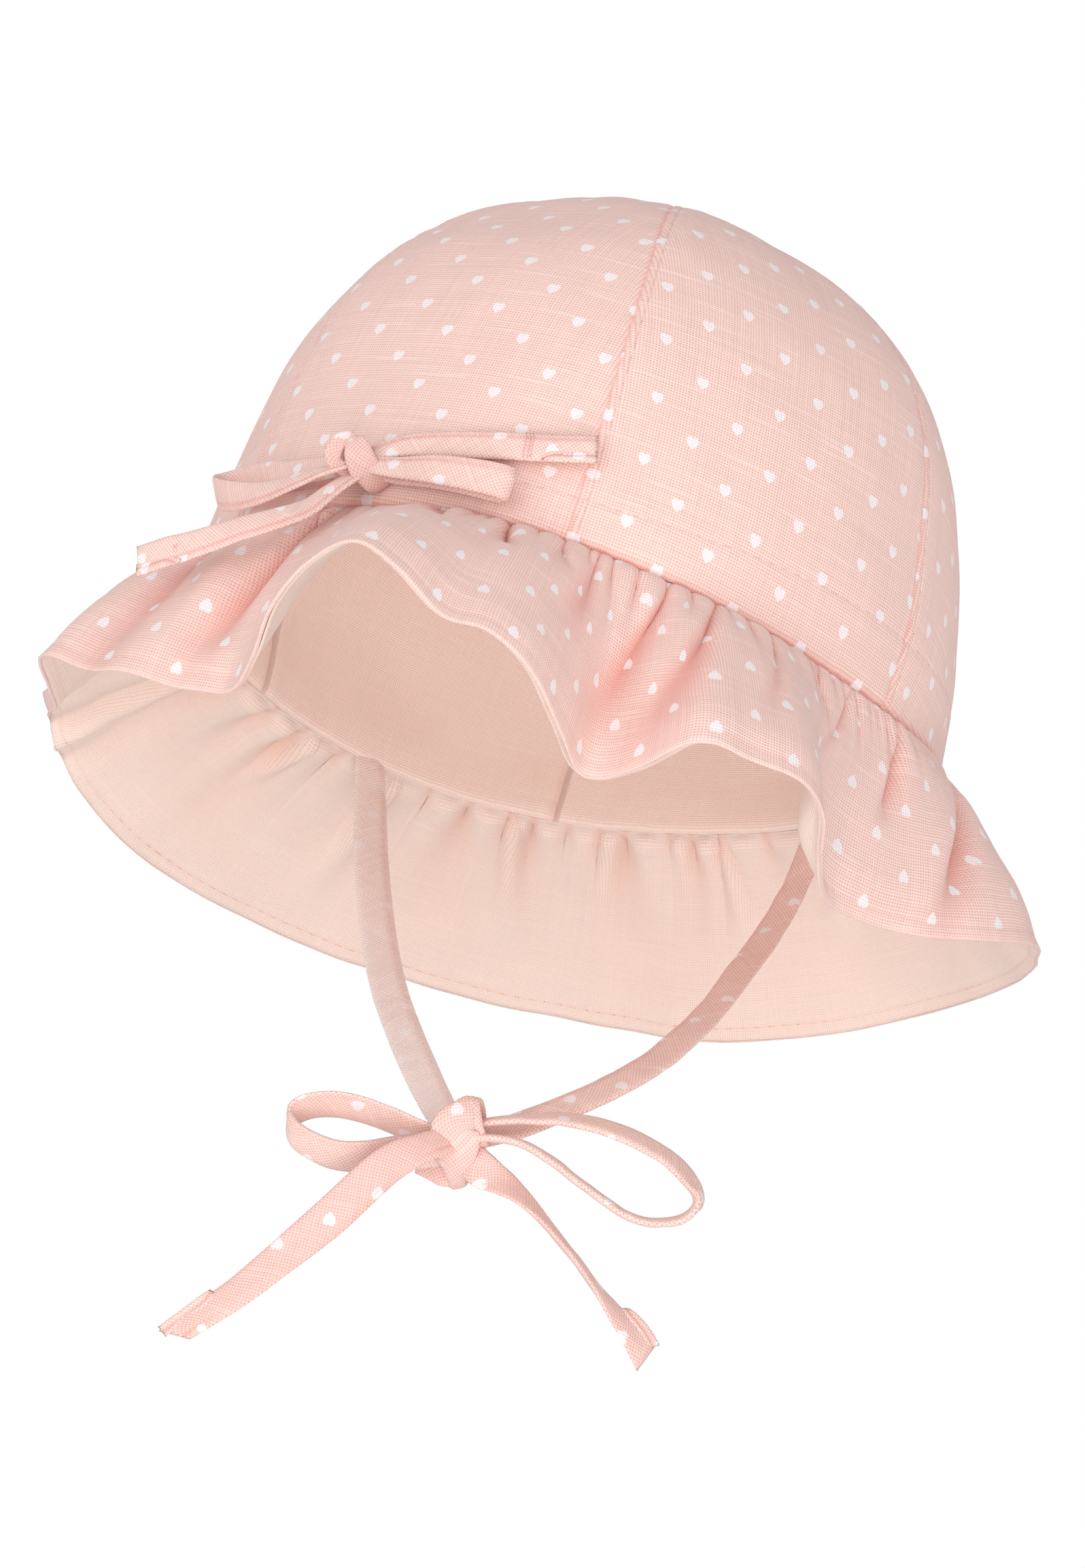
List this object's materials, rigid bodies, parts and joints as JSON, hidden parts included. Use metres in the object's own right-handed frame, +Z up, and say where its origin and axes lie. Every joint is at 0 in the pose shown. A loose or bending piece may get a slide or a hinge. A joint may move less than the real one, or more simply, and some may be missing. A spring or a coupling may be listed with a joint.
{
  "type": "baby sun hat",
  "caption": "Baby sun hat of thin printed cloth: gored round crown, plain lining, gathered ruffle brim, narrow strap bow on the front, and strap ties knotted in a bow under the chin.",
  "frame": {"origin": "centre of the head opening, in the plane of the seam between crown and brim", "axes": "+Z up along the crown's axis, -Y the front of the hat, +X the wearer's left, which is the picture's right"},
  "size_m": [0.2104, 0.2238, 0.2601],
  "materials": {
    "printed_cloth": "plain weave with slubs, small pale hearts, matt",
    "lining_cloth": "fine plain weave, matt"
  },
  "bodies": {
    "root": {"crown_panel_front_right": "printed_cloth", "crown_panel_side_right": "printed_cloth", "crown_panel_back_right": "printed_cloth", "crown_panel_back_left": "printed_cloth", "crown_panel_side_left": "printed_cloth", "crown_panel_front_left": "printed_cloth", "crown_lining": "lining_cloth", "brim": "printed_cloth", "brim_lining": "lining_cloth", "bow_knot": "printed_cloth", "bow_loop_left": "printed_cloth", "bow_loop_right": "printed_cloth", "bow_tail_left": "printed_cloth", "bow_tail_right": "printed_cloth", "tie_knot": "printed_cloth", "tie_left": "printed_cloth", "tie_right": "printed_cloth", "tie_loop_left": "printed_cloth", "tie_loop_right": "printed_cloth", "tie_tail_left": "printed_cloth", "tie_tail_right": "printed_cloth"}
  },
  "joints": []
}
